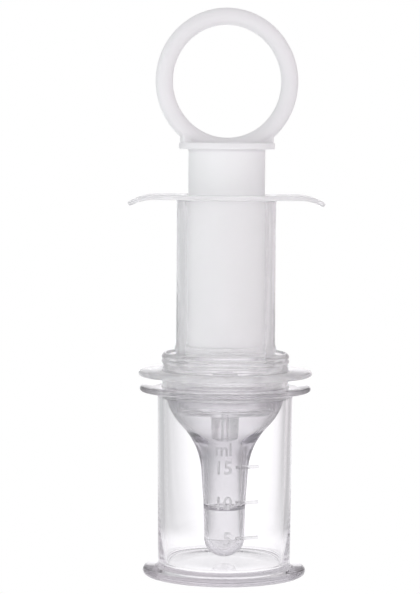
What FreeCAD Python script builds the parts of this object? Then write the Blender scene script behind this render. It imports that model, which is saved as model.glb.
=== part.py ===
import FreeCAD, Part
import math
import os
import Sketcher

# An oral medicine feeder: a ring-handled plunger in a winged barrel, pushed into a
# clear guard collar that holds a soft teat, standing in its own clear measuring cup.
# Origin: centre of the cup's underside. +Z is up the common axis, X lies along the
# barrel's finger wings and -Y is the side that carries the cup's graduations.

SIZES = [
    # measuring cup
    ("base_radius", 19.1), ("base_thick", 1.9), ("rim_round", 0.74),
    ("cup_foot_radius", 15.45), ("cup_neck_radius", 15.8), ("cup_floor", 2.37),
    ("cup_bore_foot", 13.95), ("cup_bore_neck", 14.35), ("seat_height", 41.7),
    ("mouth_bore", 14.86), ("cup_height", 44.2), ("lip_radius", 20.0), ("lip_under", 43.0),
    ("mark_first", 10.8), ("mark_step", 8.15), ("mark_thick", 0.7), ("mark_stand", 0.22),
    ("mark_middle_angle", 19.0), ("mark_sweep", 20.0),
    # guard collar
    ("neck_radius", 14.76), ("guard_radius", 20.3), ("guard_top", 47.8), ("guard_under", 46.6),
    ("shoulder_radius", 14.62), ("bead_pitch", 1.09), ("bead_round", 0.67),
    ("collar_top", 52.0), ("collar_bore", 13.8), ("collar_opening", 12.7), ("ledge_top", 43.1),
    # teat
    ("teat_flange", 13.5), ("teat_groove", 12.6), ("teat_bulge", 13.6), ("teat_top", 44.4),
    ("teat_bore", 11.3), ("teat_turn_radius", 10.05), ("teat_turn_height", 35.0),
    ("teat_crown_round", 14.5), ("teat_throat_round", 17.8), ("teat_stem_top", 23.5),
    ("teat_stem_radius", 5.4), ("teat_waist", 16.6), ("teat_waist_radius", 4.92),
    ("teat_tip_radius", 4.72), ("teat_tip_centre", 8.0), ("teat_cavity", 3.84),
    ("teat_cavity_floor", 15.8), ("teat_duct", 0.4), ("teat_membrane", 0.5),
    ("teat_chamber", 3.75), ("teat_chamber_centre", 8.6),
    # barrel
    ("barrel_radius", 11.55), ("barrel_bore", 9.65), ("barrel_top", 88.76),
    ("cuff_radius", 11.95), ("cuff_height", 52.6), ("plug_radius", 13.5),
    ("plug_top", 48.8), ("spigot_radius", 10.95), ("barrel_floor", 39.7), ("barrel_foot", 38.4),
    ("nozzle_radius", 3.2), ("nozzle_tip", 31.3), ("outlet_radius", 0.6),
    ("wing_span", 46.3), ("wing_depth", 26.0), ("wing_thick", 1.1), ("wing_flat", 16.6),
    ("wing_curl", 12.0), ("wing_end_angle", 33.0), ("wing_round", 9.0),
    # piston seal
    ("seal_radius", 9.6), ("seal_top", 53.4), ("seal_skirt", 51.2), ("seal_nose", 50.0),
    ("seal_nose_radius", 7.2), ("seal_stem_radius", 6.44), ("seal_stem_top", 60.0),
    # plunger
    ("rod_radius", 8.925), ("rod_hollow", 6.5), ("rod_foot", 53.45), ("rod_end_wall", 2.2),
    ("plate_radius", 11.15), ("plate_under", 99.3), ("plate_top", 100.8),
    ("ring_height", 115.0), ("ring_radius", 15.0), ("ring_section", 2.0),
    ("web_half", 10.95), ("web_thick", 3.2), ("web_cut", 14.4), ("handle_turn", 14.0),
]

doc = FreeCAD.newDocument("oral_syringe")
sheet = doc.addObject("Spreadsheet::Sheet", "size")
for row, (alias, number) in enumerate(SIZES, start=1):
    sheet.set("A%d" % row, alias)
    sheet.set("B%d" % row, str(number))
    sheet.setAlias("B%d" % row, alias)
doc.recompute()


def value(expression):
    """The number that an expression on the sheet's aliases has now."""
    return float(sheet.evalExpression(expression))


def origin_part(body, role):
    """One of the body's own origin planes or axes."""
    return [feature for feature in body.Origin.OriginFeatures if feature.Role == role][0]


def new_body(name):
    """A PartDesign body whose label names its file."""
    body = doc.addObject("PartDesign::Body", name)
    body.Label = name
    return body


def bow(start, end, radius):
    """An arc from start to end. A positive radius bulges to the right of the way travelled."""
    chord = end - start
    side = FreeCAD.Vector(chord.y, -chord.x, 0).normalize()
    rise = math.sqrt(radius ** 2 - (chord.Length / 2) ** 2)
    centre = (start + end) * 0.5 - side * math.copysign(rise, radius)
    first, last = (start, end) if radius > 0 else (end, start)
    angles = [math.atan2(point.y - centre.y, point.x - centre.x) for point in (first, last)]
    circle = Part.Circle(centre, FreeCAD.Vector(0, 0, 1), abs(radius))
    return Part.ArcOfCircle(circle, angles[0], angles[1])


def pin_point(sketch, edge, end, across, up):
    """Holds one end of an edge at two sheet expressions, measured from the origin."""
    for kind, axis, text in (("DistanceX", -2, across), ("DistanceY", -1, up)):
        if text == "0":
            sketch.addConstraint(Sketcher.Constraint("PointOnObject", edge, end, axis))
            continue
        index = sketch.addConstraint(Sketcher.Constraint(kind, -1, 1, edge, end, value(text)))
        sketch.setExpression("Constraints[%d]" % index, text)


def outline(body, name, role, corners):
    """A closed sketch through corners, each (across, up) or (across, up, radius of next edge)."""
    sketch = body.newObject("Sketcher::SketchObject", name)
    sketch.AttachmentSupport = (origin_part(body, role), [""])
    sketch.MapMode = "FlatFace"
    points = [FreeCAD.Vector(value(corner[0]), value(corner[1]), 0) for corner in corners]
    ends = []
    for index, corner in enumerate(corners):
        start, end = points[index], points[(index + 1) % len(points)]
        if len(corner) == 2:
            edge = sketch.addGeometry(Part.LineSegment(start, end), False)
            ends.append((edge, 1, 2))
            continue
        radius = value(corner[2])
        edge = sketch.addGeometry(bow(start, end, radius), False)
        ends.append((edge, 1, 2) if radius > 0 else (edge, 2, 1))
        rule = sketch.addConstraint(Sketcher.Constraint("Radius", edge, abs(radius)))
        sketch.setExpression("Constraints[%d]" % rule, "abs(%s)" % corner[2])
    for index, (edge, start, end) in enumerate(ends):
        following, first, _ = ends[(index + 1) % len(ends)]
        sketch.addConstraint(Sketcher.Constraint("Coincident", edge, end, following, first))
        pin_point(sketch, edge, start, corners[index][0], corners[index][1])
    return sketch


def feature(body, kind, name, sketch, **settings):
    """A PartDesign feature made from a sketch, with its properties or their expressions set."""
    made = body.newObject("PartDesign::" + kind, name)
    made.Profile = sketch
    for key, setting in settings.items():
        if isinstance(setting, str) and setting.startswith("size."):
            made.setExpression(key, setting)
        else:
            setattr(made, key, setting)
    return made


def turned(body, name, corners, kind="Revolution"):
    """A full turn of an outline about the body's vertical axis, added or cut."""
    sketch = outline(body, name + "_outline", "XZ_Plane", corners)
    return feature(body, kind, name, sketch, ReferenceAxis=(sketch, ["V_Axis"]), Angle=360.0)


def build_measuring_cup():
    """The clear cup: foot disc, tapered wall, mouth lip, inner seat and raised tick marks."""
    body = new_body("measuring_cup")
    turned(body, "cup_wall", [
        ("0", "0"),
        ("size.base_radius - size.rim_round", "0", "size.base_thick / 2 + 0.03"),
        ("size.base_radius - size.rim_round", "size.base_thick"),
        ("size.cup_foot_radius + 0.8", "size.base_thick + 0.1", "-0.8"),
        ("size.cup_foot_radius", "size.base_thick + 0.9"),
        ("size.cup_neck_radius", "size.lip_under - 1.4", "-1.2"),
        ("size.cup_neck_radius + 1.2", "size.lip_under - 0.2"),
        ("size.lip_radius - 0.5", "size.lip_under", "0.61"),
        ("size.lip_radius - 0.5", "size.cup_height"),
        ("size.mouth_bore + 0.4", "size.cup_height", "0.4"),
        ("size.mouth_bore", "size.cup_height - 0.4"),
        ("size.mouth_bore", "size.seat_height"),
        ("size.cup_bore_neck", "size.seat_height"),
        ("size.cup_bore_foot", "size.cup_floor + 1"),
        ("size.cup_bore_foot - 1", "size.cup_floor"),
        ("0", "size.cup_floor"),
    ])
    mark = outline(body, "mark_outline", "XZ_Plane", [
        ("size.cup_foot_radius - 0.3", "size.mark_first - size.mark_thick / 2"),
        ("size.cup_foot_radius + size.mark_stand", "size.mark_first - size.mark_thick / 2"),
        ("size.cup_foot_radius + size.mark_stand", "size.mark_first + size.mark_thick / 2"),
        ("size.cup_foot_radius - 0.3", "size.mark_first + size.mark_thick / 2"),
    ])
    mark.AttachmentOffset = FreeCAD.Placement(
        FreeCAD.Vector(), FreeCAD.Rotation(FreeCAD.Vector(0, 1, 0), -90))
    mark.setExpression(".AttachmentOffset.Rotation.Angle", "size.mark_middle_angle - 90")
    tick = feature(body, "Revolution", "tick", mark, ReferenceAxis=(mark, ["V_Axis"]),
                   Angle="size.mark_sweep", Midplane=True)
    doc.recompute()
    row = body.newObject("PartDesign::LinearPattern", "ticks")
    row.Originals = [tick]
    row.Direction = (origin_part(body, "Z_Axis"), [""])
    row.setExpression("Length", "size.mark_step * 2")
    row.Occurrences = 3
    body.Tip = row
    return body


def build_collar():
    """The clear guard collar: beaded upper rim, guard flange, plug neck and teat ledge."""
    body = new_body("collar")
    bead_top = "size.collar_top - 0.35"
    corners = [
        ("size.collar_opening", "size.seat_height"),
        ("size.neck_radius - 0.4", "size.seat_height"),
        ("size.neck_radius", "size.seat_height + 0.4"),
        ("size.neck_radius", "size.guard_under - 0.7", "-0.7"),
        ("size.neck_radius + 0.7", "size.guard_under"),
        ("size.guard_radius - 0.5", "size.guard_under", "0.61"),
        ("size.guard_radius - 0.5", "size.guard_top"),
        ("size.shoulder_radius + 0.5", "size.guard_top + 0.1", "-0.5"),
        ("size.shoulder_radius", "size.guard_top + 0.6"),
    ]
    for bead in (2, 1):
        foot = "%s - %d * size.bead_pitch" % (bead_top, bead)
        corners.append(("size.shoulder_radius", foot, "size.bead_round"))
    corners += [
        ("size.shoulder_radius", bead_top, "0.6"),
        ("size.collar_bore + 0.3", "size.collar_top", "0.3"),
        ("size.collar_bore", "size.collar_top - 0.3"),
        ("size.collar_bore", "size.ledge_top"),
        ("size.collar_opening", "size.ledge_top"),
    ]
    turned(body, "collar_ring", corners)
    return body


def build_teat():
    """The soft teat: flange and groove that grip the collar, funnel, stem and hollow tip."""
    body = new_body("teat")
    turned(body, "teat_shell", [
        ("size.teat_duct", "size.teat_tip_centre - sqrt(size.teat_tip_radius ^ 2 - size.teat_duct ^ 2)",
         "size.teat_tip_radius"),
        ("size.teat_tip_radius", "size.teat_tip_centre"),
        ("size.teat_waist_radius", "size.teat_waist"),
        ("size.teat_stem_radius", "size.teat_stem_top", "-size.teat_throat_round"),
        ("size.teat_turn_radius", "size.teat_turn_height", "size.teat_crown_round"),
        ("size.teat_bulge", "size.seat_height - 0.4"),
        ("size.teat_bulge - 0.4", "size.seat_height"),
        ("size.teat_groove", "size.seat_height"),
        ("size.teat_groove", "size.ledge_top"),
        ("size.teat_flange", "size.ledge_top"),
        ("size.teat_flange", "size.teat_top"),
        ("size.teat_bore", "size.teat_top"),
        ("size.teat_bore", "size.barrel_foot + 0.2"),
        ("size.teat_turn_radius - 1.15", "size.teat_turn_height + 0.4"),
        ("size.teat_cavity + 0.1", "size.nozzle_tip - 0.9"),
        ("size.teat_cavity", "size.teat_cavity_floor + 0.8", "-0.8"),
        ("size.teat_cavity - 0.8", "size.teat_cavity_floor"),
        ("size.teat_duct", "size.teat_cavity_floor"),
        ("size.teat_duct", "size.teat_cavity_floor - size.teat_membrane"),
        ("size.teat_chamber", "size.teat_cavity_floor - size.teat_membrane"),
        ("size.teat_chamber", "size.teat_chamber_centre", "-size.teat_chamber"),
        ("size.teat_duct", "size.teat_chamber_centre - sqrt(size.teat_chamber ^ 2 - size.teat_duct ^ 2)"),
    ])
    return body


def wing_outline():
    """The section of the two wings: a flat middle strip whose ends curl down on an arc."""
    drop = "size.barrel_top - size.wing_curl * (1 - cos(size.wing_end_angle))"
    reach = "size.wing_flat + size.wing_curl * sin(size.wing_end_angle)"
    inner = "(size.wing_curl - size.wing_thick)"
    under = "size.barrel_top - size.wing_thick - %s * (1 - cos(size.wing_end_angle))" % inner
    tuck = "size.wing_flat + %s * sin(size.wing_end_angle)" % inner
    base = "size.barrel_top - size.wing_thick"
    return [
        ("-(%s)" % tuck, under, "-" + inner),
        ("-size.wing_flat", base),
        ("size.wing_flat", base, "-" + inner),
        (tuck, under),
        (reach, drop, "size.wing_curl"),
        ("size.wing_flat", "size.barrel_top"),
        ("-size.wing_flat", "size.barrel_top", "size.wing_curl"),
        ("-(%s)" % reach, drop),
    ]


def trim_wings(body):
    """Cuts the wing strip to an oblong with half-round ends, seen from above."""
    half = "(size.wing_span / 2 - size.wing_round)"
    end_arc = "(size.wing_depth ^ 2 / 4 + size.wing_round ^ 2) / (2 * size.wing_round)"
    plan = outline(body, "wing_plan", "XY_Plane", [
        ("-" + half, "-size.wing_depth / 2"),
        (half, "-size.wing_depth / 2", end_arc),
        (half, "size.wing_depth / 2"),
        ("-" + half, "size.wing_depth / 2", end_arc),
    ])
    margin = value("size.wing_span")
    frame = [FreeCAD.Vector(x, y, 0) for x, y in
             ((-margin, -margin), (margin, -margin), (margin, margin), (-margin, margin))]
    for index, corner in enumerate(frame):
        plan.addGeometry(Part.LineSegment(corner, frame[(index + 1) % 4]), False)
    return feature(body, "Pocket", "wing_trim", plan, Type="ThroughAll", Midplane=True)


def build_barrel():
    """The milky barrel: wings, tube, cuff, beaded plug, spigot, floor and nozzle."""
    body = new_body("barrel")
    strip = outline(body, "wing_section", "XZ_Plane", wing_outline())
    feature(body, "Pad", "wing_strip", strip, Length="size.wing_depth", Midplane=True)
    trim_wings(body)
    turned(body, "barrel_tube", [
        ("0", "size.nozzle_tip"),
        ("size.nozzle_radius - 0.5", "size.nozzle_tip", "0.5"),
        ("size.nozzle_radius - 0.05", "size.nozzle_tip + 0.5"),
        ("size.nozzle_radius", "size.barrel_foot - 0.8", "-0.8"),
        ("size.nozzle_radius + 0.8", "size.barrel_foot"),
        ("size.spigot_radius - 1", "size.barrel_foot"),
        ("size.spigot_radius", "size.barrel_foot + 1"),
        ("size.spigot_radius", "size.teat_top"),
        ("size.plug_radius", "size.teat_top"),
        ("size.plug_radius", "size.teat_top + 0.8", "0.62"),
        ("size.plug_radius", "size.teat_top + 1.8"),
        ("size.plug_radius", "size.teat_top + 2.7", "0.62"),
        ("size.plug_radius", "size.teat_top + 3.7"),
        ("size.plug_radius", "size.plug_top - 0.3"),
        ("size.plug_radius - 0.3", "size.plug_top"),
        ("size.barrel_radius", "size.plug_top"),
        ("size.barrel_radius", "size.cuff_height - 0.6"),
        ("size.cuff_radius", "size.cuff_height"),
        ("size.barrel_radius", "size.cuff_height + 1.6"),
        ("size.barrel_radius", "size.barrel_top - size.wing_thick - 0.8", "-0.8"),
        ("size.barrel_radius + 0.8", "size.barrel_top - size.wing_thick"),
        ("size.barrel_radius + 0.8", "size.barrel_top"),
        ("0", "size.barrel_top"),
    ])
    doc.recompute()
    solid = body.Shape.Volume
    turned(body, "barrel_bore", [
        ("0", "size.nozzle_tip - 1"),
        ("size.outlet_radius", "size.nozzle_tip - 1"),
        ("size.outlet_radius", "size.barrel_floor"),
        ("size.barrel_bore - 0.6", "size.barrel_floor"),
        ("size.barrel_bore", "size.barrel_floor + 0.6"),
        ("size.barrel_bore", "size.barrel_top - 0.4"),
        ("size.barrel_bore + 0.8", "size.barrel_top + 0.4"),
        ("0", "size.barrel_top + 0.4"),
    ], kind="Groove")
    doc.recompute()
    assert body.Shape.Volume < solid - value("3 * size.barrel_bore ^ 2 * 45")
    return body


def build_piston_seal():
    """The soft seal: stem plugged into the rod, two sealing lips and a blunt nose."""
    body = new_body("piston_seal")
    turned(body, "seal_body", [
        ("0", "size.seal_nose"),
        ("size.seal_nose_radius - 0.4", "size.seal_nose", "0.4"),
        ("size.seal_nose_radius", "size.seal_nose + 0.4"),
        ("size.seal_nose_radius", "size.seal_skirt"),
        ("size.seal_radius - 0.25", "size.seal_skirt"),
        ("size.seal_radius", "size.seal_skirt + 0.25"),
        ("size.seal_radius", "size.seal_skirt + 0.6"),
        ("size.seal_radius - 0.5", "size.seal_skirt + 0.9"),
        ("size.seal_radius - 0.5", "size.seal_top - 0.9"),
        ("size.seal_radius", "size.seal_top - 0.6"),
        ("size.seal_radius", "size.seal_top - 0.25"),
        ("size.seal_radius - 0.25", "size.seal_top"),
        ("size.seal_stem_radius", "size.seal_top"),
        ("size.seal_stem_radius", "size.seal_stem_top - 0.6"),
        ("size.seal_stem_radius - 0.6", "size.seal_stem_top"),
        ("0", "size.seal_stem_top"),
    ])
    return body


def build_plunger():
    """The milky plunger: hollow rod, stop plate, web and finger ring in one moulding."""
    body = new_body("plunger")
    turned(body, "rod", [
        ("size.rod_hollow", "size.rod_foot"),
        ("size.rod_radius - 0.3", "size.rod_foot"),
        ("size.rod_radius", "size.rod_foot + 0.3"),
        ("size.rod_radius", "size.plate_under"),
        ("size.plate_radius - 0.5", "size.plate_under", "0.76"),
        ("size.plate_radius - 0.5", "size.plate_top"),
        ("0", "size.plate_top"),
        ("0", "size.plate_under - size.rod_end_wall"),
        ("size.rod_hollow", "size.plate_under - size.rod_end_wall"),
    ])
    web = outline(body, "web_outline", "XZ_Plane", [
        ("-size.web_half", "size.plate_top - 0.3"),
        ("size.web_half", "size.plate_top - 0.3"),
        ("size.web_half", "size.ring_height - sqrt(size.web_cut ^ 2 - size.web_half ^ 2)",
         "-size.web_cut"),
        ("-size.web_half", "size.ring_height - sqrt(size.web_cut ^ 2 - size.web_half ^ 2)"),
    ])
    feature(body, "Pad", "web", web, Length="size.web_thick", Midplane=True)
    doc.recompute()
    ring = body.newObject("PartDesign::AdditiveTorus", "ring")
    ring.setExpression("Radius1", "size.ring_radius")
    ring.setExpression("Radius2", "size.ring_section")
    ring.AttachmentSupport = (origin_part(body, "XZ_Plane"), [""])
    ring.MapMode = "FlatFace"
    ring.setExpression(".AttachmentOffset.Base.y", "size.ring_height")
    body.setExpression(".Placement.Rotation.Angle", "size.handle_turn")
    return body


BUILDERS = (build_measuring_cup, build_collar, build_teat, build_barrel, build_piston_seal, build_plunger)
bodies = [build() for build in BUILDERS]
doc.recompute()

for item in doc.Objects:
    if "Invalid" in item.State or "Error" in item.State:
        raise RuntimeError("%s failed: %s" % (item.Name, item.State))
for body in bodies:
    if body.Shape.isNull() or not body.Shape.isValid() or len(body.Shape.Solids) != 1:
        raise RuntimeError("%s has no single valid solid" % body.Label)

os.makedirs("parts", exist_ok=True)
for body in bodies:
    body.Shape.exportStep("parts/%s.step" % body.Label)
    box = body.Shape.BoundBox
    print("%-14s %8.1f mm3  x %.2f..%.2f  y %.2f..%.2f  z %.2f..%.2f" % (
        body.Label, body.Shape.Volume, box.XMin, box.XMax, box.YMin, box.YMax, box.ZMin, box.ZMax))
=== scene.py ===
import logging
import math
from dataclasses import dataclass
from enum import Enum
from typing import Any

import bmesh
import bpy
from mathutils import Matrix, Vector


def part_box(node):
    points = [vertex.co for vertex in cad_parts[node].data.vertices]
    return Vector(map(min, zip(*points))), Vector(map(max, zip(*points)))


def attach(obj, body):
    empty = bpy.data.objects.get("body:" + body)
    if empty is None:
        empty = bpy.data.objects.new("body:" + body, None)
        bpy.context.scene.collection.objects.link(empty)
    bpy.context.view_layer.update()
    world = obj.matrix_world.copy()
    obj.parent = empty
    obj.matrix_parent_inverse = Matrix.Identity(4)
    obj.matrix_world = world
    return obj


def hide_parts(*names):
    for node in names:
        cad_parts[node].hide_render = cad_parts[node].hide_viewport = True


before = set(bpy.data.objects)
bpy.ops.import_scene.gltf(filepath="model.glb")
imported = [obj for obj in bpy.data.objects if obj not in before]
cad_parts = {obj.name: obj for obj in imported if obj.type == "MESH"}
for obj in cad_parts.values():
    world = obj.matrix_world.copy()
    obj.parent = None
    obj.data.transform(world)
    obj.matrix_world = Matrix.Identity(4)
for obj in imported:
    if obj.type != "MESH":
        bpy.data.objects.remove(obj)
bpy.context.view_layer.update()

LOG = logging.getLogger("oral_syringe")
MILLIMETRE = 0.001
TURN_STEPS = 160
MERGE_DISTANCE = 0.0002
SHARP_ANGLE = math.radians(38.0)


class Side(Enum):
    """Which side of the section an arc bulges to, seen along the way it is drawn."""

    RIGHT = 1.0
    LEFT = -1.0


# ---------------------------------------------------------------- shader maths


class Wire:
    """A shader socket whose arithmetic adds Math nodes to its tree."""

    def __init__(self, recipe: "Recipe", socket: bpy.types.NodeSocket | None) -> None:
        """Wraps one output socket of a recipe's node, or none for an output node."""
        self.recipe = recipe
        self.socket = socket

    def _math(self, operation: str, *values: Any) -> "Wire":
        """Adds one Math node over the values given."""
        return self.recipe.node("ShaderNodeMath", {"operation": operation}, dict(enumerate(values)))

    def __add__(self, other: Any) -> "Wire":
        """This value plus another."""
        return self._math("ADD", self, other)

    def __radd__(self, other: Any) -> "Wire":
        """Another value plus this one."""
        return self._math("ADD", other, self)

    def __sub__(self, other: Any) -> "Wire":
        """This value less another."""
        return self._math("SUBTRACT", self, other)

    def __rsub__(self, other: Any) -> "Wire":
        """Another value less this one."""
        return self._math("SUBTRACT", other, self)

    def __mul__(self, other: Any) -> "Wire":
        """This value times another."""
        return self._math("MULTIPLY", self, other)

    def __rmul__(self, other: Any) -> "Wire":
        """Another value times this one."""
        return self._math("MULTIPLY", other, self)

    def ramp(self, low: float, high: float, start: float = 0.0, end: float = 1.0) -> "Wire":
        """A smooth step of this value.

        Args:
            low: the value where the step begins.
            high: the value where it ends.
            start: the result at and below low.
            end: the result at and above high.

        Returns:
            The stepped value.
        """
        return self.recipe.node("ShaderNodeMapRange", {"interpolation_type": "SMOOTHSTEP"}, {
            0: self, 1: low, 2: high, 3: start, 4: end})


class Recipe:
    """A node tree that is filled by plain calls."""

    def __init__(self, tree: bpy.types.NodeTree) -> None:
        """Empties the tree."""
        self.tree = tree
        tree.nodes.clear()

    def node(self, kind: str, settings: dict[str, Any], inputs: dict[Any, Any], output: Any = 0) -> Wire:
        """Adds one node.

        Args:
            kind: the node's type name.
            settings: its properties, set before its sockets.
            inputs: a value or a Wire for each socket, by name or index.
            output: the name or index of the output wanted.

        Returns:
            That output as a Wire.
        """
        made = self.tree.nodes.new(kind)
        for key, value in settings.items():
            if key == "stops":
                self.set_stops(made.color_ramp, value)
            else:
                setattr(made, key, value)
        for key, value in inputs.items():
            if isinstance(value, Wire):
                self.tree.links.new(value.socket, made.inputs[key])
            else:
                made.inputs[key].default_value = value
        return Wire(self, made.outputs[output] if made.outputs else None)

    def set_stops(self, band: bpy.types.ColorRamp, stops: tuple[tuple[float, float], ...]) -> None:
        """Sets a ramp's stops from pairs of a place and a grey level."""
        while len(band.elements) < len(stops):
            band.elements.new(0.5)
        for stop, (spot, _) in zip(band.elements, sorted(stops)):
            stop.position = spot
        for stop, (_, level) in zip(band.elements, sorted(stops)):
            stop.color = colour(level)

    def place(self, stretch: tuple[float, float, float] = (1.0, 1.0, 1.0)) -> Wire:
        """Object coordinates, stretched by a Mapping node."""
        raw = self.node("ShaderNodeTexCoord", {}, {}, "Object")
        return self.node("ShaderNodeMapping", {}, {"Vector": raw, "Scale": stretch})

    def noise(self, place: Wire, scale: float, detail: float = 3.0, rough: float = 0.5) -> Wire:
        """Fractal noise in 0 to 1 over a place."""
        sockets = {"Vector": place, "Scale": scale, "Detail": detail, "Roughness": rough}
        return self.node("ShaderNodeTexNoise", {}, sockets, 0)

    def blend(self, share: Wire, first: tuple[float, ...], second: tuple[float, ...]) -> Wire:
        """A mix of two colours."""
        settings = {"data_type": "RGBA", "clamp_factor": True}
        return self.node("ShaderNodeMix", settings, {"Factor": share, 6: first, 7: second}, 2)

    def bump(self, height: Wire, strength: float, depth: float) -> Wire:
        """A normal from a height, with its depth in millimetres."""
        sockets = {"Height": height, "Strength": strength, "Distance": depth * MILLIMETRE}
        return self.node("ShaderNodeBump", {}, sockets)


def colour(level: float, warmth: float = 0.0, mauve: float = 0.0) -> tuple[float, float, float, float]:
    """A near-neutral colour.

    Args:
        level: its linear brightness.
        warmth: positive for warmer, negative for cooler.
        mauve: how much green is held back.

    Returns:
        Red, green, blue and alpha.
    """
    return (level * (1 + warmth), level * (1 - mauve), level * (1 - warmth), 1.0)


# ---------------------------------------------------------------- finishes


@dataclass(frozen=True)
class ClearMoulding:
    """Clear polished rigid plastic with faint flow lines and handling marks."""

    name: str
    tint: float = 0.99
    index: float = 1.5
    rough: float = 0.015
    density: float = 12.0

    def make(self) -> bpy.types.Material:
        """Builds the material."""
        material = bpy.data.materials.new(self.name)
        material.use_nodes = True
        recipe = Recipe(material.node_tree)
        flow = recipe.noise(recipe.place((1.0, 1.0, 0.25)), 160.0, 2.0)
        haze = recipe.noise(recipe.place(), 420.0, 4.0, 0.6)
        fine = recipe.noise(recipe.place((1.0, 1.0, 3.0)), 2400.0, 2.0)
        roughness = self.rough + haze.ramp(0.5, 0.75) * 0.02 + fine.ramp(0.66, 0.8) * 0.03
        tone = recipe.blend(flow, colour(self.tint - 0.008, -0.002), colour(self.tint, 0.001))
        shader = recipe.node("ShaderNodeBsdfPrincipled", {}, {
            "Base Color": tone, "Roughness": roughness, "IOR": self.index,
            "Transmission Weight": 1.0, "Normal": recipe.bump(flow, 0.12, 0.02),
        })
        depth = recipe.node("ShaderNodeVolumeAbsorption", {}, {
            "Color": (0.08, 0.0, 0.1, 1.0), "Density": self.density})
        recipe.node("ShaderNodeOutputMaterial", {}, {"Surface": shader, "Volume": depth})
        return material


@dataclass(frozen=True)
class SoftSilicone:
    """Clear to cloudy silicone with a dusty bloom and a faintly wavy skin."""

    name: str
    tint: float = 0.998
    cloud: float = 0.0
    rough: float = 0.04
    density: float = 100.0

    def make(self) -> bpy.types.Material:
        """Builds the material."""
        material = bpy.data.materials.new(self.name)
        material.use_nodes = True
        recipe = Recipe(material.node_tree)
        wave = recipe.noise(recipe.place((1.0, 1.0, 0.5)), 210.0, 2.0)
        bloom = recipe.noise(recipe.place(), 900.0, 4.0, 0.6)
        roughness = self.rough + bloom.ramp(0.45, 0.7) * 0.04
        tone = recipe.blend(bloom, colour(self.tint - 0.006, 0.001), colour(self.tint, -0.001))
        normal = recipe.bump(wave, 0.15, 0.03)
        clear = recipe.node("ShaderNodeBsdfPrincipled", {}, {
            "Base Color": tone, "Roughness": roughness, "IOR": 1.41,
            "Transmission Weight": 1.0, "Normal": normal,
        })
        fog = recipe.node("ShaderNodeBsdfPrincipled", {}, {
            "Base Color": colour(0.985), "Roughness": 1.0, "Specular IOR Level": 0.0, "Normal": normal})
        glow = recipe.node("ShaderNodeBsdfTranslucent", {}, {"Color": colour(0.985)})
        milk = recipe.node("ShaderNodeMixShader", {}, {0: 0.5, 1: fog, 2: glow})
        share = self.cloud * (0.8 + bloom * 0.4)
        mixed = recipe.node("ShaderNodeMixShader", {}, {0: share, 1: clear, 2: milk})
        depth = recipe.node("ShaderNodeVolumeAbsorption", {}, {
            "Color": (0.05, 0.0, 0.1, 1.0), "Density": self.density})
        recipe.node("ShaderNodeOutputMaterial", {}, {"Surface": mixed, "Volume": depth})
        return material


@dataclass(frozen=True)
class MilkyMoulding:
    """Milky polypropylene that light soaks into, with a fine satin grain.

    Above a height in millimetres, over the plate and ring, its base colour is painted a little darker than
    its rod: painted shade where the overhead light falls strongly.
    """

    name: str
    body: float = 0.93
    rough: float = 0.3
    soak: float = 0.003
    # handle: the darker base colour level painted on the plate and ring as painted shade.
    handle: float = 0.8
    # The height in millimetres where the painted shade on the handle begins.
    painted_shade_from: float = 98.4

    def make(self) -> bpy.types.Material:
        """Builds the material."""
        material = bpy.data.materials.new(self.name)
        material.use_nodes = True
        recipe = Recipe(material.node_tree)
        cloud = recipe.noise(recipe.place((1.0, 1.0, 0.35)), 130.0, 3.0)
        grain = recipe.noise(recipe.place(), 3200.0, 2.0)
        draw = recipe.noise(recipe.place((1.0, 1.0, 0.04)), 1500.0, 2.0)
        height = recipe.node("ShaderNodeSeparateXYZ", {}, {0: recipe.place()}, 2)
        low = self.painted_shade_from * MILLIMETRE
        # upper masks the handle above that height, where the base colour is painted darker as painted
        # shade.
        upper = height.ramp(low, low * 1.01)
        tone = recipe.blend(cloud - upper, colour(self.body - 0.012, -0.004, 0.008),
                            colour(self.body, 0.002, 0.004))
        # The base colour switches to the painted-shade handle level above that height.
        shader = recipe.node("ShaderNodeBsdfPrincipled", {}, {
            "Base Color": recipe.node("ShaderNodeMix", {"data_type": "RGBA"}, {
                "Factor": upper, 6: tone, 7: colour(self.handle, 0.0, 0.006)}, 2),
            "Roughness": self.rough - 0.04 + cloud * 0.06 + grain.ramp(0.55, 0.8) * 0.08,
            "Normal": recipe.bump(grain * 0.5 + draw, 0.25, 0.012), "IOR": 1.49,
            "Subsurface Weight": 1.0, "Subsurface Radius": (1.0, 0.97, 1.0), "Subsurface Scale": self.soak,
        })
        recipe.node("ShaderNodeOutputMaterial", {}, {"Surface": shader})
        return material


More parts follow.
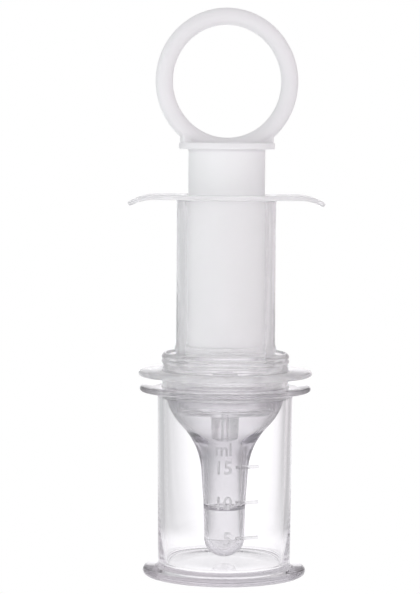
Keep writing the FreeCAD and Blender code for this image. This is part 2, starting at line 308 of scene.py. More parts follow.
@dataclass(frozen=True)
class CloudyMoulding:
    """Natural polypropylene: clear resin with a thin haze that glows where light comes through.

    It is clear below one height, and hazier past one distance from the axis, both in millimetres.
    """

    name: str
    haze: float = 0.16
    rough: float = 0.05
    tint: float = 1.0
    clear_below: float = 50.0
    rim_haze: float = 0.45
    rim_from: float = 11.8

    def make(self) -> bpy.types.Material:
        """Builds the material."""
        material = bpy.data.materials.new(self.name)
        material.use_nodes = True
        recipe = Recipe(material.node_tree)
        cloud = recipe.noise(recipe.place((1.0, 1.0, 0.3)), 140.0, 3.0)
        draw = recipe.noise(recipe.place((1.0, 1.0, 0.04)), 1200.0, 2.0)
        scuff = recipe.noise(recipe.place((1.0, 1.0, 2.0)), 2600.0, 3.0)
        normal = recipe.bump(draw, 0.05, 0.01)
        tone = recipe.blend(cloud, colour(self.tint - 0.004, 0.0, 0.003), colour(self.tint, 0.0, 0.001))
        resin = recipe.node("ShaderNodeBsdfPrincipled", {}, {
            "Base Color": tone, "Roughness": self.rough + cloud * 0.03 + scuff.ramp(0.6, 0.8) * 0.06,
            "IOR": 1.49, "Normal": normal, "Transmission Weight": 1.0,
        })
        fog = recipe.node("ShaderNodeBsdfPrincipled", {}, {
            "Base Color": tone, "Roughness": 1.0, "Specular IOR Level": 0.0, "Normal": normal,
        })
        glow = recipe.node("ShaderNodeBsdfTranslucent", {}, {"Color": colour(0.99, 0.0, 0.006)})
        milk = recipe.node("ShaderNodeMixShader", {}, {0: 0.3, 1: fog, 2: glow})
        height = recipe.node("ShaderNodeSeparateXYZ", {}, {0: recipe.place()}, 2)
        low = self.clear_below * MILLIMETRE
        reach = recipe.node("ShaderNodeVectorMath", {"operation": "LENGTH"}, {
            0: recipe.place((1.0, 1.0, 0.0))}, "Value")
        rim = self.rim_from * MILLIMETRE
        amount = self.haze + reach.ramp(rim, rim * 1.05, 0.0, self.rim_haze)
        share = amount * height.ramp(low, low * 1.06) * (0.8 + cloud * 0.4)
        mixed = recipe.node("ShaderNodeMixShader", {}, {0: share, 1: resin, 2: milk})
        recipe.node("ShaderNodeOutputMaterial", {}, {"Surface": mixed})
        return material


# ---------------------------------------------------------------- meshes


class Section:
    """Half a section drawn with bmesh operators in the XZ plane, in millimetres."""

    def __init__(self, across: float, up: float) -> None:
        """Starts the section at one point."""
        self.mesh = bmesh.new()
        self.first = self.mesh.verts.new((across, 0.0, up))
        self.tip = self.first

    def line(self, across: float, up: float) -> "Section":
        """Draws a straight stretch to a point."""
        made = bmesh.ops.extrude_vert_indiv(self.mesh, verts=[self.tip])
        self.tip = made["verts"][0]
        self.tip.co = (across, 0.0, up)
        return self

    def arc(self, across: float, up: float, radius: float, side: Side = Side.RIGHT,
            steps: int = 6) -> "Section":
        """Draws an arc to a point.

        Args:
            across: how far the end is from the axis.
            up: the end's height.
            radius: the arc's radius.
            side: which side it bulges to.
            steps: how many edges it has.

        Returns:
            The section itself.
        """
        start, end = self.tip.co.copy(), Vector((across, 0.0, up))
        chord = end - start
        rise = math.sqrt(max(radius ** 2 - (chord.length / 2) ** 2, 0.0))
        right = Vector((chord.z, 0.0, -chord.x)).normalized()
        centre = (start + end) / 2 - right * rise * side.value
        sweep = 2 * math.asin(min(chord.length / 2 / radius, 1.0))
        bmesh.ops.spin(self.mesh, geom=[self.tip], cent=centre, axis=(0.0, -side.value, 0.0),
                       dvec=(0.0, 0.0, 0.0), angle=sweep, steps=steps, use_duplicate=False)
        self.mesh.verts.ensure_lookup_table()
        self.tip = self.mesh.verts[-1]
        assert (self.tip.co - end).length < 0.01, (self.tip.co, end)
        self.tip.co = end
        return self

    def turn(self, steps: int = TURN_STEPS, closed: bool = False) -> bmesh.types.BMesh:
        """Turns the section about Z into a closed solid.

        Args:
            steps: how many facets go round.
            closed: whether an edge joins the last point to the first.

        Returns:
            The solid, its faces pointing outwards.
        """
        if closed:
            bmesh.ops.contextual_create(self.mesh, geom=[self.tip, self.first])
        whole = self.mesh.verts[:] + self.mesh.edges[:]
        bmesh.ops.spin(self.mesh, geom=whole, cent=(0.0, 0.0, 0.0), axis=(0.0, 0.0, 1.0),
                       dvec=(0.0, 0.0, 0.0), angle=2 * math.pi, steps=steps, use_merge=True)
        bmesh.ops.remove_doubles(self.mesh, verts=self.mesh.verts, dist=MERGE_DISTANCE)
        bmesh.ops.recalc_face_normals(self.mesh, faces=self.mesh.faces)
        return self.mesh


def to_object(mesh: bmesh.types.BMesh, name: str) -> bpy.types.Object:
    """Makes a smooth-shaded object from a mesh drawn in millimetres.

    Args:
        mesh: the mesh, which is freed.
        name: the object's name.

    Returns:
        The object, at the origin and in metres.
    """
    bmesh.ops.scale(mesh, vec=(MILLIMETRE,) * 3, verts=mesh.verts)
    data = bpy.data.meshes.new(name)
    mesh.to_mesh(data)
    mesh.free()
    data.shade_smooth()
    data.set_sharp_from_angle(angle=SHARP_ANGLE)
    made = bpy.data.objects.new(name, data)
    bpy.context.scene.collection.objects.link(made)
    return made


def united(base: bpy.types.Object, *others: bpy.types.Object) -> bpy.types.Object:
    """Joins closed solids into one skin and drops the others."""
    for other in others:
        cut = base.modifiers.new("join", "BOOLEAN")
        cut.operation = "UNION"
        cut.solver = "MANIFOLD"
        cut.object = other
    bpy.context.view_layer.update()
    baked = bpy.data.meshes.new_from_object(base.evaluated_get(bpy.context.evaluated_depsgraph_get()))
    base.modifiers.clear()
    base.data = baked
    for other in others:
        bpy.data.objects.remove(other)
    baked.shade_smooth()
    baked.set_sharp_from_angle(angle=SHARP_ANGLE)
    return base


@dataclass
class Piece:
    """What every sub-assembly shares: the CAD node it stands for and the body it rides on."""

    node: str
    body: str
    slot: str

    def heights(self) -> tuple[float, float]:
        """The node's lowest and highest point, in millimetres."""
        low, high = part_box(self.node)
        return low.z / MILLIMETRE, high.z / MILLIMETRE

    def dress(self, made: bpy.types.Object, material: bpy.types.Material) -> None:
        """Gives a piece its material and its place in the frame."""
        made.data.materials.clear()
        made.data.materials.append(material)
        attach(made, self.body)
        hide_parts(self.node)
        LOG.info("%s rides on %s: %d faces", made.name, self.body, len(made.data.polygons))


# ---------------------------------------------------------------- sub-assemblies


@dataclass
class MeasuringCup(Piece):
    """The clear cup with its foot disc, mouth lip, seat and raised scale."""

    node: str = "measuring_cup"
    body: str = "cup"
    slot: str = "clear_cup"
    base_radius: float = 19.1
    base_thick: float = 1.9
    foot_radius: float = 15.45
    neck_radius: float = 15.8
    floor: float = 2.37
    bore_foot: float = 13.95
    bore_neck: float = 14.35
    mouth_bore: float = 14.86
    seat: float = 41.7
    lip_radius: float = 20.0
    lip_thick: float = 1.2
    mark_first: float = 10.8
    mark_step: float = 8.15
    mark_thick: float = 0.75
    mark_start: float = 9.0
    mark_end: float = 29.0
    figure_edge: float = 6.3
    figure_height: float = 3.1
    relief: float = 0.22
    sink: float = 0.05

    def wall(self) -> bpy.types.Object:
        """The cup's own solid of revolution."""
        _, top = self.heights()
        lip_under = top - self.lip_thick
        rim = self.base_thick / 2
        section = Section(0.0, 0.0)
        section.line(6.0, 0.0).line(12.0, 0.0)
        section.line(self.base_radius - rim, 0.0)
        section.arc(self.base_radius - rim, self.base_thick, rim + 0.001, steps=12)
        section.line(self.foot_radius + 0.8, self.base_thick + 0.06)
        section.arc(self.foot_radius, self.base_thick + 0.86, 0.8, Side.LEFT, steps=5)
        for share in (0.25, 0.5, 0.75):
            section.line(self.foot_radius + (self.neck_radius - self.foot_radius) * share,
                         self.base_thick + 0.86 + (lip_under - self.base_thick - 2.2) * share)
        section.line(self.neck_radius, lip_under - 1.4)
        section.arc(self.neck_radius + 1.2, lip_under - 0.2, 1.2, Side.LEFT, steps=6)
        section.line(self.lip_radius - 0.6, lip_under)
        section.arc(self.lip_radius - 0.6, top, self.lip_thick / 2 + 0.001, steps=10)
        section.line(self.mouth_bore + 0.4, top)
        section.arc(self.mouth_bore, top - 0.4, 0.4, steps=4)
        section.line(self.mouth_bore, self.seat)
        section.line(self.bore_neck, self.seat)
        section.line((self.bore_neck + self.bore_foot) / 2, (self.seat + self.floor) / 2)
        section.line(self.bore_foot, self.floor + 1.0)
        section.arc(self.bore_foot - 1.0, self.floor, 1.0, Side.LEFT, steps=5)
        section.line(7.0, self.floor).line(0.0, self.floor)
        return to_object(section.turn(), "cup_wall")

    def radius_at(self, height: float) -> float:
        """The wall's outer radius at a height."""
        share = (height - self.base_thick) / (self.seat - self.base_thick)
        return self.foot_radius + (self.neck_radius - self.foot_radius) * share

    def wrap(self, mesh: bmesh.types.BMesh, height: float) -> None:
        """Bends flat relief on to the wall.

        Args:
            mesh: relief with X along the wall in millimetres, Y up and Z out of the wall.
            height: how high the relief's Y origin sits.
        """
        for vert in mesh.verts:
            reach = self.radius_at(height) - self.sink + vert.co.z
            angle = vert.co.x / self.radius_at(height)
            vert.co = (reach * math.sin(angle), -reach * math.cos(angle), height + vert.co.y)

    def tick(self, height: float) -> bpy.types.Object:
        """One raised tick mark with softened edges."""
        radius = self.radius_at(height)
        start, end = (math.radians(angle) * radius for angle in (self.mark_start, self.mark_end))
        mesh = bmesh.new()
        bmesh.ops.create_cube(mesh, size=1.0)
        bmesh.ops.scale(mesh, vec=(end - start, self.mark_thick, self.relief + self.sink), verts=mesh.verts)
        bmesh.ops.translate(mesh, vec=((start + end) / 2, 0.0, (self.relief + self.sink) / 2),
                            verts=mesh.verts)
        outer = [edge for edge in mesh.edges if all(vert.co.z > 0.01 for vert in edge.verts)]
        bmesh.ops.bevel(mesh, geom=outer, offset=0.1, segments=2, affect="EDGES", profile=0.5, material=-1)
        self.slice(mesh, start, end)
        self.wrap(mesh, height)
        return to_object(mesh, "tick")

    def slice(self, mesh: bmesh.types.BMesh, start: float, end: float) -> None:
        """Cuts flat relief into strips, so that it can bend."""
        count = max(int((end - start) / 0.6), 1)
        for step in range(1, count):
            cut = start + (end - start) * step / count
            geom = mesh.verts[:] + mesh.edges[:] + mesh.faces[:]
            bmesh.ops.bisect_plane(mesh, geom=geom, plane_co=(cut, 0.0, 0.0), plane_no=(1.0, 0.0, 0.0))

    def figure(self, text: str, height: float, edge: float) -> bpy.types.Object:
        """A raised figure, set flush right at an angle from the front.

        Args:
            text: what it says.
            height: the height of its middle.
            edge: the angle of its right edge, in degrees.

        Returns:
            The figure, wrapped on the wall.
        """
        curve = bpy.data.curves.new("figure", "FONT")
        curve.body = text
        curve.align_x = "RIGHT"
        curve.size = self.figure_height / 0.73
        curve.extrude = (self.relief + self.sink) / 2 - 0.05
        curve.bevel_depth = 0.05
        curve.bevel_resolution = 1
        curve.resolution_u = 5
        holder = bpy.data.objects.new("figure", curve)
        bpy.context.scene.collection.objects.link(holder)
        bpy.context.view_layer.update()
        flat = bpy.data.meshes.new_from_object(holder.evaluated_get(bpy.context.evaluated_depsgraph_get()))
        bpy.data.objects.remove(holder)
        mesh = bmesh.new()
        mesh.from_mesh(flat)
        bmesh.ops.remove_doubles(mesh, verts=mesh.verts, dist=0.001)
        right = math.radians(edge) * self.radius_at(height)
        lift = (self.relief + self.sink) / 2
        bmesh.ops.translate(mesh, vec=(right, -self.figure_height / 2, lift), verts=mesh.verts)
        left = min(vert.co.x for vert in mesh.verts)
        self.slice(mesh, left, right)
        self.wrap(mesh, height)
        return to_object(mesh, "figure")

    def scale(self) -> bpy.types.Object:
        """The whole raised scale as one piece: three ticks, their figures and the unit."""
        parts = []
        for step, text in enumerate(("5", "10", "15")):
            height = self.mark_first + step * self.mark_step
            parts += [self.tick(height), self.figure(text, height, self.figure_edge)]
        unit_height = self.mark_first + 2 * self.mark_step + 4.2
        parts.append(self.figure("ml", unit_height, self.figure_edge))
        mesh = bmesh.new()
        for part in parts:
            mesh.from_mesh(part.data)
            bpy.data.objects.remove(part)
        data = bpy.data.meshes.new("cup_scale")
        mesh.to_mesh(data)
        mesh.free()
        made = bpy.data.objects.new("cup_scale", data)
        bpy.context.scene.collection.objects.link(made)
        return made

    def build(self) -> None:
        """Makes the cup and its scale."""
        self.dress(self.wall(), ClearMoulding("clear_cup_plastic").make())
        self.dress(self.scale(), ClearMoulding("clear_scale_plastic", tint=0.84, rough=0.1).make())


@dataclass
class GuardCollar(Piece):
    """The clear ring with its beads, guard flange and the ledge that grips the teat."""

    node: str = "collar"
    body: str = "guard"
    slot: str = "clear_collar"
    neck_radius: float = 14.76
    shoulder_radius: float = 14.62
    guard_radius: float = 20.3
    guard_under: float = 46.6
    guard_top: float = 47.8
    bead_pitch: float = 1.09
    bead_round: float = 0.67
    bore: float = 13.8
    opening: float = 12.7
    ledge_top: float = 43.1

    def build(self) -> None:
        """Makes the collar."""
        low, top = self.heights()
        bead_top = top - 0.35
        section = Section(self.opening, low)
        section.line(self.neck_radius - 0.4, low)
        section.arc(self.neck_radius, low + 0.4, 0.4, steps=4)
        section.line(self.neck_radius, self.guard_under - 0.7)
        section.arc(self.neck_radius + 0.7, self.guard_under, 0.7, Side.LEFT, steps=5)
        section.line(self.guard_radius - 0.6, self.guard_under)
        section.arc(self.guard_radius - 0.6, self.guard_top, 0.601, steps=10)
        section.line(self.shoulder_radius + 0.5, self.guard_top + 0.1)
        section.arc(self.shoulder_radius, self.guard_top + 0.6, 0.5, Side.LEFT, steps=5)
        for bead in (2, 1, 0):
            foot = bead_top - bead * self.bead_pitch
            if bead == 2:
                section.line(self.shoulder_radius, foot)
            else:
                section.arc(self.shoulder_radius, foot, self.bead_round, steps=6)
        section.arc(self.bore + 0.3, top, 0.6, steps=5)
        section.arc(self.bore, top - 0.3, 0.3, steps=3)
        section.line(self.bore, self.ledge_top)
        section.line(self.opening, self.ledge_top)
        self.dress(to_object(section.turn(closed=True), "guard_collar"), CloudyMoulding(
            "clear_collar_plastic", haze=0.12, clear_below=30.0, rim_haze=0.15, rim_from=15.0).make())


@dataclass
class Teat(Piece):
    """The soft teat: a flange and groove that grip the collar, a funnel and a hollow tip."""

    node: str = "teat"
    body: str = "guard"
    slot: str = "clear_silicone"
    flange: float = 13.5
    groove: float = 12.6
    bulge: float = 13.6
    seat: float = 41.7
    ledge_top: float = 43.1
    bore: float = 11.3
    cone_top: float = 38.6
    turn_radius: float = 10.05
    turn_height: float = 35.0
    stem_radius: float = 5.4
    stem_top: float = 23.5
    waist_radius: float = 4.92
    waist: float = 16.6
    tip_radius: float = 4.72
    tip_centre: float = 8.0
    cavity: float = 3.84
    cavity_floor: float = 15.8
    throat: float = 30.4
    duct: float = 0.4
    membrane: float = 0.5
    chamber: float = 3.75
    chamber_centre: float = 8.6

    def build(self) -> None:
        """Makes the teat."""
        low, top = self.heights()
        section = Section(self.duct, low)
        section.arc(self.tip_radius, self.tip_centre, self.tip_radius, steps=20)
        section.line(self.waist_radius, self.waist)
        section.line(self.stem_radius, self.stem_top)
        section.arc(self.turn_radius, self.turn_height, 17.8, Side.LEFT, steps=14)
        section.arc(self.bulge, self.seat - 0.4, 14.5, steps=8)
        section.arc(self.bulge - 0.4, self.seat, 0.4, steps=4)
        section.line(self.groove, self.seat).line(self.groove, self.ledge_top)
        section.line(self.flange, self.ledge_top).line(self.flange, top)
        section.line(self.bore, top).line(self.bore, self.cone_top)
        section.line(self.turn_radius - 1.15, self.turn_height + 0.4)
        section.line(self.cavity + 1.85, self.throat + 1.77)
        section.arc(self.cavity + 0.09, self.throat - 2.5, 6.0, steps=8)
        section.line(self.cavity, self.cavity_floor + 0.8)
        section.arc(self.cavity - 0.8, self.cavity_floor, 0.8, Side.LEFT, steps=5)
        section.line(self.duct, self.cavity_floor)
        section.line(self.duct, self.cavity_floor - self.membrane)
        section.line(self.chamber, self.cavity_floor - self.membrane)
        section.line(self.chamber, self.chamber_centre)
        drop = math.sqrt(self.chamber ** 2 - self.duct ** 2)
        section.arc(self.duct, self.chamber_centre - drop, self.chamber, Side.LEFT, steps=16)
        self.dress(to_object(section.turn(closed=True), "soft_teat"), SoftSilicone(
            "clear_teat_silicone", cloud=0.05).make())


@dataclass
class Barrel(Piece):
    """The milky barrel: wings, tube, cuff, beaded plug, spigot, floor and nozzle."""

    node: str = "barrel"
    body: str = "syringe"
    slot: str = "milky_barrel"
    radius: float = 11.55
    bore: float = 9.65
    cuff_radius: float = 11.95
    cuff_height: float = 52.6
    plug_radius: float = 13.5
    plug_foot: float = 44.4
    plug_top: float = 48.8
    spigot: float = 10.95
    foot: float = 38.4
    floor: float = 39.7
    nozzle: float = 3.2
    outlet: float = 0.6
    wing_depth: float = 26.0
    wing_round: float = 9.0
    wing_thick: float = 1.1
    wing_flat: float = 16.6
    wing_curl: float = 12.0
    wing_edge: float = 0.35

    def tube(self) -> bpy.types.Object:
        """Everything of the barrel that is round."""
        low, top = self.heights()
        under = top - self.wing_thick
        section = Section(self.outlet, low)
        section.line(self.nozzle - 0.5, low)
        section.arc(self.nozzle - 0.05, low + 0.5, 0.5, steps=4)
        section.line(self.nozzle, self.foot - 0.8)
        section.arc(self.nozzle + 0.8, self.foot, 0.8, Side.LEFT, steps=4)
        section.line(self.spigot - 1.0, self.foot)
        section.line(self.spigot, self.foot + 1.0)
        section.line(self.spigot, self.plug_foot)
        section.line(self.plug_radius, self.plug_foot)
        for rise in (0.8, 2.7):
            section.line(self.plug_radius, self.plug_foot + rise)
            section.arc(self.plug_radius, self.plug_foot + rise + 1.0, 0.62, steps=6)
        section.line(self.plug_radius, self.plug_top - 0.3)
        section.line(self.plug_radius - 0.3, self.plug_top)
        section.line(self.radius, self.plug_top)
        section.line(self.radius, self.cuff_height - 0.6)
        section.line(self.cuff_radius, self.cuff_height)
        section.line(self.radius, self.cuff_height + 1.6)
        section.line(self.radius, under - 0.8)
        section.arc(self.radius + 0.8, under, 0.8, Side.LEFT, steps=5)
        section.line(self.radius + 0.8, top)
        section.line(self.bore + 0.4, top)
        section.line(self.bore, top - 0.4)
        section.line(self.bore, self.floor + 0.6)
        section.line(self.bore - 0.6, self.floor)
        section.line(self.outlet, self.floor)
        return to_object(section.turn(closed=True), "barrel_body")

    def wings(self) -> bpy.types.Object:
        """The two finger wings, cut as one strip and curled down at the ends."""
        low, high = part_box(self.node)
        half = high.x / MILLIMETRE
        top = high.z / MILLIMETRE
        depth = self.wing_depth / 2
        side = half - self.wing_round
        rounding = (depth ** 2 + self.wing_round ** 2) / (2 * self.wing_round)
        sweep = 2 * math.asin(depth / rounding)
        mesh = bmesh.new()
        ends = []
        for sign in (1.0, -1.0):
            start = mesh.verts.new((sign * side, -sign * depth, 0.0))
            centre = (sign * (half - rounding), 0.0, 0.0)
            bmesh.ops.spin(mesh, geom=[start], cent=centre, axis=(0.0, 0.0, 1.0), dvec=(0.0, 0.0, 0.0),
                           angle=sweep, steps=40, use_duplicate=False)
            mesh.verts.ensure_lookup_table()
            ends.append((start, mesh.verts[-1]))
        bmesh.ops.contextual_create(mesh, geom=[ends[0][1], ends[1][0]])
        bmesh.ops.contextual_create(mesh, geom=[ends[1][1], ends[0][0]])
        bmesh.ops.create_circle(mesh, segments=TURN_STEPS, radius=(self.radius + self.bore) / 2)
        bmesh.ops.triangle_fill(mesh, edges=mesh.edges, use_beauty=True, use_dissolve=False,
                                normal=(0.0, 0.0, 1.0))
        for step in range(1, 14):
            for sign in (1.0, -1.0):
                cut = self.wing_flat + (step - 1) * 0.5
                bmesh.ops.bisect_plane(mesh, geom=mesh.verts[:] + mesh.edges[:] + mesh.faces[:],
                                       plane_co=(sign * cut, 0.0, 0.0), plane_no=(1.0, 0.0, 0.0))
        skin = bmesh.ops.extrude_face_region(mesh, geom=mesh.faces[:])
        moved = [item for item in skin["geom"] if isinstance(item, bmesh.types.BMVert)]
        bmesh.ops.translate(mesh, vec=(0.0, 0.0, -self.wing_thick), verts=moved)
        bmesh.ops.recalc_face_normals(mesh, faces=mesh.faces)
        rim = [edge for edge in mesh.edges
               if len(edge.link_faces) == 2 and edge.calc_face_angle(0.0) > 1.2
               and Vector(edge.verts[0].co.xy).length > self.radius]
        bmesh.ops.bevel(mesh, geom=rim, offset=self.wing_edge, segments=3, affect="EDGES",
                        profile=0.5, material=-1)
        for vert in mesh.verts:
            vert.co = self.curled(vert.co) + Vector((0.0, 0.0, top))
        return to_object(mesh, "wings")

    def curled(self, place: Vector) -> Vector:
        """Where a point of the flat strip goes once its ends are curled down."""
        sign = math.copysign(1.0, place.x)
        past = abs(place.x) - self.wing_flat
        if past <= 0:
            return place.copy()
        reach = min(past / self.wing_curl, 1.0)
        angle = math.asin(reach)
        inner = self.wing_curl + place.z
        return Vector((sign * (self.wing_flat + inner * math.sin(angle)), place.y,
                       inner * math.cos(angle) - self.wing_curl))

    def build(self) -> None:
        """Makes the barrel in one skin."""
        made = united(self.tube(), self.wings())
        self.dress(made, CloudyMoulding("milky_barrel_plastic").make())


@dataclass
class PistonSeal(Piece):
    """The soft seal with two lips, plugged into the rod."""

    node: str = "piston_seal"
    body: str = "seal"
    slot: str = "seal_silicone"
    radius: float = 9.6
    skirt: float = 51.2
    crown: float = 53.4
    nose_radius: float = 7.2
    stem: float = 6.44
    lip_depth: float = 0.5

    def build(self) -> None:
        """Makes the seal."""
        low, top = self.heights()
        section = Section(0.0, low)
        section.line(self.nose_radius - 0.4, low)
        section.arc(self.nose_radius, low + 0.4, 0.4, steps=4)
        section.line(self.nose_radius, self.skirt)
        section.line(self.radius - 0.25, self.skirt)
        section.line(self.radius, self.skirt + 0.25).line(self.radius, self.skirt + 0.6)
        section.line(self.radius - self.lip_depth, self.skirt + 0.9)
        section.line(self.radius - self.lip_depth, self.crown - 0.9)
        section.line(self.radius, self.crown - 0.6).line(self.radius, self.crown - 0.25)
        section.line(self.radius - 0.25, self.crown)
        section.line(self.stem, self.crown).line(self.stem, top - 0.6)
        section.line(self.stem - 0.6, top).line(0.0, top)
        self.dress(to_object(section.turn(), "lip_seal"), SoftSilicone(
            "cloudy_seal_silicone", cloud=0.9, rough=0.15, density=0.0).make())


@dataclass
class Plunger(Piece):
    """The milky plunger: hollow rod, stop plate, web and finger ring."""

    node: str = "plunger"
    body: str = "handle"
    slot: str = "milky_plunger"
    rod_radius: float = 8.925
    hollow: float = 6.5
    end_wall: float = 2.2
    plate_radius: float = 11.15
    plate_under: float = 99.3
    plate_top: float = 100.8
    ring_radius: float = 15.0
    ring_section: float = 2.0
    web_half: float = 10.95
    web_thick: float = 3.2
    web_cut: float = 14.4
    edge: float = 0.3
    turn: float = 14.0

    def rod(self) -> bpy.types.Object:
        """The hollow rod and its stop plate."""
        low, _ = self.heights()
        end = self.plate_under - self.end_wall
        section = Section(0.0, end)
        section.line(self.hollow, end).line(self.hollow, low)
        section.line(self.rod_radius - 0.3, low).line(self.rod_radius, low + 0.3)
        section.line(self.rod_radius, self.plate_under - 0.4)
        section.arc(self.rod_radius + 0.4, self.plate_under, 0.4, Side.LEFT, steps=3)
        section.line(self.plate_radius - self.edge, self.plate_under)
        section.arc(self.plate_radius, self.plate_under + self.edge, self.edge, steps=4)
        section.line(self.plate_radius, self.plate_top - self.edge)
        section.arc(self.plate_radius - self.edge, self.plate_top, self.edge, steps=4)
        section.line(0.0, self.plate_top)
        return to_object(section.turn(), "plunger_body")

    def ring(self) -> bpy.types.Object:
        """The finger ring, a round section turned about the ring's own axis."""
        _, top = self.heights()
        centre = top - self.ring_radius - self.ring_section
        mesh = bmesh.new()
        bmesh.ops.create_circle(mesh, segments=32, radius=self.ring_section)
        bmesh.ops.translate(mesh, vec=(self.ring_radius, 0.0, centre), verts=mesh.verts)
        bmesh.ops.spin(mesh, geom=mesh.verts[:] + mesh.edges[:], cent=(0.0, 0.0, centre),
                       axis=(0.0, 1.0, 0.0), dvec=(0.0, 0.0, 0.0), angle=2 * math.pi,
                       steps=TURN_STEPS, use_merge=True)
        bmesh.ops.remove_doubles(mesh, verts=mesh.verts, dist=MERGE_DISTANCE)
        bmesh.ops.recalc_face_normals(mesh, faces=mesh.faces)
        return to_object(mesh, "ring")

    def web(self) -> bpy.types.Object:
        """The web between the ring and the plate, with its upper edge inside the ring."""
        _, top = self.heights()
        centre = top - self.ring_radius - self.ring_section
        shoulder = centre - math.sqrt(self.web_cut ** 2 - self.web_half ** 2)
        section = Section(-self.web_half, self.plate_top - 0.3)
        section.line(self.web_half, self.plate_top - 0.3)
        section.line(self.web_half, shoulder)
        section.arc(-self.web_half, shoulder, self.web_cut, Side.LEFT, steps=24)
        mesh = section.mesh
        bmesh.ops.contextual_create(mesh, geom=[section.tip, section.first])
        bmesh.ops.contextual_create(mesh, geom=mesh.edges[:])
        bmesh.ops.translate(mesh, vec=(0.0, -self.web_thick / 2, 0.0), verts=mesh.verts)
        skin = bmesh.ops.extrude_face_region(mesh, geom=mesh.faces[:])
        moved = [item for item in skin["geom"] if isinstance(item, bmesh.types.BMVert)]
        bmesh.ops.translate(mesh, vec=(0.0, self.web_thick, 0.0), verts=moved)
        bmesh.ops.recalc_face_normals(mesh, faces=mesh.faces)
        corners = [edge for edge in mesh.edges
                   if all(abs(abs(vert.co.x) - self.web_half) < 0.001 for vert in edge.verts)]
        bmesh.ops.bevel(mesh, geom=corners, offset=self.edge * 2, segments=4, affect="EDGES",
                        profile=0.5, material=-1)
        return to_object(mesh, "web")

    def build(self) -> None:
        """Makes the plunger in one skin and gives it its turn."""
        made = united(self.rod(), self.web(), self.ring())
        made.data.transform(Matrix.Rotation(math.radians(self.turn), 4, "Z"))
        self.dress(made, MilkyMoulding("milky_plunger_plastic").make())


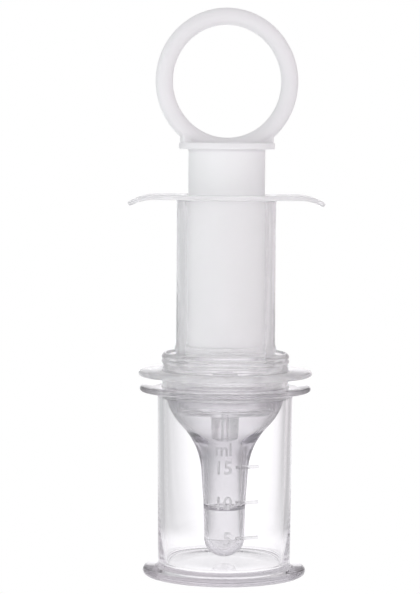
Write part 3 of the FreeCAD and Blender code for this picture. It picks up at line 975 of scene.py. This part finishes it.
@dataclass
class Studio:
    """The white sweep, the soft surroundings and the camera."""

    distance: float = 0.5464
    camera_height: float = 0.0991
    camera_left: float = 0.0037
    pitch: float = 3.579
    roll: float = 0.4
    lens: float = 142.4
    floor_half: float = 3.0
    overhead: float = 0.66
    above: float = 0.55
    near: float = 1.15
    near_reach: float = 0.05
    sway: float = 0.045
    around: tuple[tuple[float, float], ...] = (
        (-180.0, 1.05), (-140.0, 1.12), (-100.0, 1.05), (-75.0, 0.72), (-45.0, 0.6), (-25.0, 0.62),
        (-16.0, 0.74), (-12.0, 0.84), (-8.0, 0.96), (-5.0, 1.1), (-3.0, 1.18), (0.0, 1.22), (6.0, 1.22),
        (11.0, 1.15), (16.0, 0.85), (21.0, 0.58), (31.0, 0.52), (37.0, 0.8), (43.0, 0.84),
        (50.0, 0.52), (75.0, 0.6), (100.0, 0.92), (140.0, 1.0), (180.0, 1.05),
    )

    def camera(self) -> None:
        """Sets the camera level with the syringe's ring, looking slightly down."""
        data = bpy.data.cameras.new("camera")
        data.lens = self.lens
        data.sensor_width = 36.0
        data.clip_start = 0.01
        made = bpy.data.objects.new("camera", data)
        bpy.context.scene.collection.objects.link(made)
        made.location = (-self.camera_left, -self.distance, self.camera_height)
        tilt = Matrix.Rotation(math.radians(90.0 - self.pitch), 3, "X")
        spin = Matrix.Rotation(math.radians(self.roll), 3, "Z")
        made.rotation_euler = (tilt @ spin).to_euler()
        bpy.context.scene.camera = made

    def glow(self, recipe: Recipe, way: Wire) -> Wire:
        """How bright the surroundings are, by the compass direction from the syringe.

        Args:
            recipe: the tree to add to.
            way: a direction or a place about the Z axis.

        Returns:
            The level, brightest straight behind.
        """
        across = recipe.node("ShaderNodeSeparateXYZ", {}, {0: way}, 0)
        along = recipe.node("ShaderNodeSeparateXYZ", {}, {0: way}, 1)
        turn = recipe.node("ShaderNodeMath", {"operation": "ARCTAN2"}, {0: across, 1: along})
        stops = tuple((angle / 360.0 + 0.5, level) for angle, level in self.around)
        return recipe.node("ShaderNodeValToRGB", {"stops": stops}, {0: turn * (0.5 / math.pi) + 0.5})

    def tinted(self, recipe: Recipe, way: Wire) -> Wire:
        """The tint of the surroundings: a little cooler on the left, mauve on the right."""
        across = recipe.node("ShaderNodeSeparateXYZ", {}, {0: way}, 0)
        share = (across * 3.0).ramp(-1.0, 1.0)
        tint = recipe.blend(share, colour(1.0, -0.015), colour(1.0, 0.002, 0.035))
        direct = recipe.node("ShaderNodeLightPath", {}, {}, "Is Camera Ray")
        settings = {"data_type": "RGBA"}
        return recipe.node("ShaderNodeMix", settings, {"Factor": direct, 6: tint, 7: colour(1.0)}, 2)

    def shown(self, recipe: Recipe, level: Wire) -> Wire:
        """The light of the surroundings, which are plain white where seen directly."""
        direct = recipe.node("ShaderNodeLightPath", {}, {}, "Is Camera Ray")
        return level * (1.0 - direct) + direct

    def floor(self) -> None:
        """A plain white floor that shines evenly, so that it casts no shadow."""
        mesh = bmesh.new()
        bmesh.ops.create_grid(mesh, x_segments=1, y_segments=1, size=self.floor_half)
        bmesh.ops.translate(mesh, vec=(0.0, 0.0, -0.00005), verts=mesh.verts)
        data = bpy.data.meshes.new("floor")
        mesh.to_mesh(data)
        mesh.free()
        made = bpy.data.objects.new("floor", data)
        bpy.context.scene.collection.objects.link(made)
        material = bpy.data.materials.new("floor_paper")
        material.use_nodes = True
        recipe = Recipe(material.node_tree)
        place = recipe.node("ShaderNodeTexCoord", {}, {}, "Object")
        reach = recipe.node("ShaderNodeVectorMath", {"operation": "LENGTH"}, {0: place}, "Value")
        shift = recipe.node("ShaderNodeVectorMath", {"operation": "ADD"}, {
            0: place, 1: (0.0, self.sway, 0.0)})
        far = reach.ramp(self.near_reach * 0.5, self.near_reach)
        level = self.glow(recipe, shift) * far + self.near * (1.0 - far)
        shader = recipe.node("ShaderNodeEmission", {}, {
            "Color": self.tinted(recipe, place), "Strength": self.shown(recipe, level)})
        recipe.node("ShaderNodeOutputMaterial", {}, {"Surface": shader})
        data.materials.append(material)

    def surroundings(self) -> None:
        """A white backdrop behind, greyer to the sides, with a soft light overhead."""
        world = bpy.data.worlds.new("studio")
        bpy.context.scene.world = world
        world.use_nodes = True
        recipe = Recipe(world.node_tree)
        way = recipe.node("ShaderNodeTexCoord", {}, {}, "Generated")
        up = recipe.node("ShaderNodeSeparateXYZ", {}, {0: way}, 2)
        behind = recipe.node("ShaderNodeSeparateXYZ", {}, {0: way}, 1).ramp(0.2, 0.8)
        lifted = up.ramp(0.09, 0.2) * behind
        high = up.ramp(0.35, 0.8)
        level = self.glow(recipe, way) * (1.0 - lifted) + self.above * lifted
        level = level * (1.0 - high) + self.overhead * high
        light = recipe.node("ShaderNodeBackground", {}, {
            "Color": self.tinted(recipe, way), "Strength": self.shown(recipe, level)})
        recipe.node("ShaderNodeOutputWorld", {}, {"Surface": light})

    def build(self) -> None:
        """Sets up the studio."""
        self.floor()
        self.surroundings()
        self.camera()
        scene = bpy.context.scene
        scene.view_settings.view_transform = "Standard"
        scene.cycles.max_bounces = 40
        scene.cycles.transmission_bounces = 40
        scene.cycles.glossy_bounces = 40
        scene.cycles.diffuse_bounces = 12
        scene.cycles.blur_glossy = 0.0


def main() -> None:
    """Builds the studio and every sub-assembly."""
    logging.basicConfig(level=logging.INFO, format="%(name)s: %(message)s")
    Studio().build()
    for piece in (MeasuringCup(), GuardCollar(), Teat(), Barrel(), PistonSeal(), Plunger()):
        piece.build()


if __name__ == "__main__":
    main()
